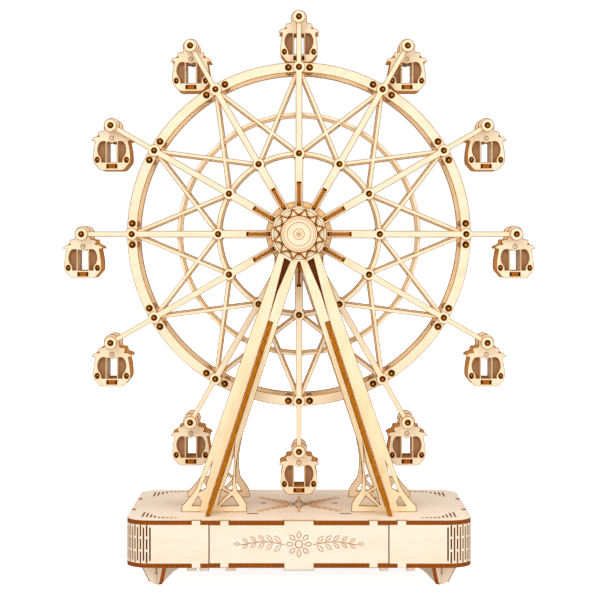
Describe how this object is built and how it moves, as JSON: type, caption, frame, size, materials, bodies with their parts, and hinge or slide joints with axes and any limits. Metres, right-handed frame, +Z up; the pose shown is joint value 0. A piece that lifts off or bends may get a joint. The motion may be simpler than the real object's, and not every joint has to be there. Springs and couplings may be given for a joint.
{
  "type": "crank ferris wheel toy",
  "caption": "Hand cranked plywood observation wheel with hanging cabins on an A-frame tower and a rounded box base.",
  "frame": {"origin": "on the floor, under the middle of the whole toy with its crank", "axes": "+Z up, the front of the toy faces -Y, the wheel turns about a line along Y"},
  "size_m": [0.282, 0.1372, 0.3354],
  "materials": {
    "base_ply": "laser cut plywood, bare",
    "tower_ply": "laser cut plywood, bare",
    "wheel_ply": "laser cut plywood, bare",
    "cabin_ply": "laser cut plywood, bare",
    "gear_ply": "laser cut plywood, bare",
    "dowel": "turned dowel, bare",
    "belt_rubber": "moulded rubber cord"
  },
  "bodies": {
    "base": {"base_top_plate": "base_ply", "base_bottom_plate": "base_ply", "front_panel": "base_ply", "rear_panel": "base_ply", "side_wrap_left": "base_ply", "side_wrap_right": "base_ply", "foot_front_left": "base_ply", "foot_front_right": "base_ply", "foot_rear_left": "base_ply", "foot_rear_right": "base_ply", "front_tower": "tower_ply", "rear_tower": "tower_ply", "front_tower_fins": "tower_ply", "rear_tower_fins": "tower_ply", "sun_star": "tower_ply", "front_cap": "tower_ply", "rear_cap": "tower_ply", "front_bearing_plate": "base_ply", "rear_bearing_plate": "base_ply", "pulley_bracket": "base_ply", "idler_pins": "dowel", "drive_belt": "belt_rubber"},
    "wheel": {"front_spokes": "wheel_ply", "rear_spokes": "wheel_ply", "front_rim": "wheel_ply", "rear_rim": "wheel_ply", "front_lattice": "wheel_ply", "rear_lattice": "wheel_ply", "front_middle_ring": "wheel_ply", "rear_middle_ring": "wheel_ply", "hub_fins": "wheel_ply", "front_hub_discs": "wheel_ply", "rear_hub_discs": "wheel_ply", "cabin_washers": "wheel_ply", "hub_pulley": "wheel_ply", "hub_sleeve": "dowel", "wheel_axle": "dowel", "wheel_dowels": "dowel", "cabin_rods": "dowel"},
    "cabin_01": {"cabin_01": "cabin_ply"},
    "cabin_02": {"cabin_02": "cabin_ply"},
    "cabin_03": {"cabin_03": "cabin_ply"},
    "cabin_04": {"cabin_04": "cabin_ply"},
    "cabin_05": {"cabin_05": "cabin_ply"},
    "cabin_06": {"cabin_06": "cabin_ply"},
    "cabin_07": {"cabin_07": "cabin_ply"},
    "cabin_08": {"cabin_08": "cabin_ply"},
    "cabin_09": {"cabin_09": "cabin_ply"},
    "cabin_10": {"cabin_10": "cabin_ply"},
    "cabin_11": {"cabin_11": "cabin_ply"},
    "cabin_12": {"cabin_12": "cabin_ply"},
    "crank": {"crank_shaft": "dowel", "crank_knob": "dowel", "crank_arm": "base_ply", "crank_gear": "gear_ply"},
    "idler_1": {"idler_gear_1": "gear_ply"},
    "idler_2": {"idler_gear_2": "gear_ply"},
    "pulley_drive": {"pulley_shaft": "dowel", "pulley_gear": "gear_ply", "drive_pulley": "gear_ply"}
  },
  "joints": [
    {"name": "wheel_spin", "type": "hinge", "parent": "base", "child": "wheel", "pos_m": [0, -0.0086, 0.20155], "axis": [0, 1, 0], "continuous": true},
    {"name": "cabin_01_swing", "type": "hinge", "parent": "wheel", "child": "cabin_01", "pos_m": [0, -0.0086, 0.33055], "axis": [0, 1, 0], "continuous": true},
    {"name": "cabin_02_swing", "type": "hinge", "parent": "wheel", "child": "cabin_02", "pos_m": [0.0645, -0.0086, 0.31327], "axis": [0, 1, 0], "continuous": true},
    {"name": "cabin_03_swing", "type": "hinge", "parent": "wheel", "child": "cabin_03", "pos_m": [0.11172, -0.0086, 0.26605], "axis": [0, 1, 0], "continuous": true},
    {"name": "cabin_04_swing", "type": "hinge", "parent": "wheel", "child": "cabin_04", "pos_m": [0.129, -0.0086, 0.20155], "axis": [0, 1, 0], "continuous": true},
    {"name": "cabin_05_swing", "type": "hinge", "parent": "wheel", "child": "cabin_05", "pos_m": [0.11172, -0.0086, 0.13705], "axis": [0, 1, 0], "continuous": true},
    {"name": "cabin_06_swing", "type": "hinge", "parent": "wheel", "child": "cabin_06", "pos_m": [0.0645, -0.0086, 0.08983], "axis": [0, 1, 0], "continuous": true},
    {"name": "cabin_07_swing", "type": "hinge", "parent": "wheel", "child": "cabin_07", "pos_m": [0, -0.0086, 0.07255], "axis": [0, 1, 0], "continuous": true},
    {"name": "cabin_08_swing", "type": "hinge", "parent": "wheel", "child": "cabin_08", "pos_m": [-0.0645, -0.0086, 0.08983], "axis": [0, 1, 0], "continuous": true},
    {"name": "cabin_09_swing", "type": "hinge", "parent": "wheel", "child": "cabin_09", "pos_m": [-0.11172, -0.0086, 0.13705], "axis": [0, 1, 0], "continuous": true},
    {"name": "cabin_10_swing", "type": "hinge", "parent": "wheel", "child": "cabin_10", "pos_m": [-0.129, -0.0086, 0.20155], "axis": [0, 1, 0], "continuous": true},
    {"name": "cabin_11_swing", "type": "hinge", "parent": "wheel", "child": "cabin_11", "pos_m": [-0.11172, -0.0086, 0.26605], "axis": [0, 1, 0], "continuous": true},
    {"name": "cabin_12_swing", "type": "hinge", "parent": "wheel", "child": "cabin_12", "pos_m": [-0.0645, -0.0086, 0.31327], "axis": [0, 1, 0], "continuous": true},
    {"name": "crank_spin", "type": "hinge", "parent": "base", "child": "crank", "pos_m": [0, -0.0086, 0.02535], "axis": [0, 1, 0], "continuous": true},
    {"name": "idler_1_spin", "type": "hinge", "parent": "base", "child": "idler_1", "pos_m": [0.0189, -0.0086, 0.02535], "axis": [0, 1, 0], "continuous": true},
    {"name": "idler_2_spin", "type": "hinge", "parent": "base", "child": "idler_2", "pos_m": [0.0378, -0.0086, 0.02535], "axis": [0, 1, 0], "continuous": true},
    {"name": "pulley_drive_spin", "type": "hinge", "parent": "base", "child": "pulley_drive", "pos_m": [0.0567, -0.0086, 0.02535], "axis": [0, 1, 0], "continuous": true}
  ],
  "couplings": [
    {"joint": "cabin_01_swing", "follows": "wheel_spin", "ratio": -1},
    {"joint": "cabin_02_swing", "follows": "wheel_spin", "ratio": -1},
    {"joint": "cabin_03_swing", "follows": "wheel_spin", "ratio": -1},
    {"joint": "cabin_04_swing", "follows": "wheel_spin", "ratio": -1},
    {"joint": "cabin_05_swing", "follows": "wheel_spin", "ratio": -1},
    {"joint": "cabin_06_swing", "follows": "wheel_spin", "ratio": -1},
    {"joint": "cabin_07_swing", "follows": "wheel_spin", "ratio": -1},
    {"joint": "cabin_08_swing", "follows": "wheel_spin", "ratio": -1},
    {"joint": "cabin_09_swing", "follows": "wheel_spin", "ratio": -1},
    {"joint": "cabin_10_swing", "follows": "wheel_spin", "ratio": -1},
    {"joint": "cabin_11_swing", "follows": "wheel_spin", "ratio": -1},
    {"joint": "cabin_12_swing", "follows": "wheel_spin", "ratio": -1},
    {"joint": "crank_spin", "follows": "wheel_spin", "ratio": -1.6667},
    {"joint": "idler_1_spin", "follows": "wheel_spin", "ratio": 1.6667},
    {"joint": "idler_2_spin", "follows": "wheel_spin", "ratio": -1.6667},
    {"joint": "pulley_drive_spin", "follows": "wheel_spin", "ratio": 1.6667}
  ]
}
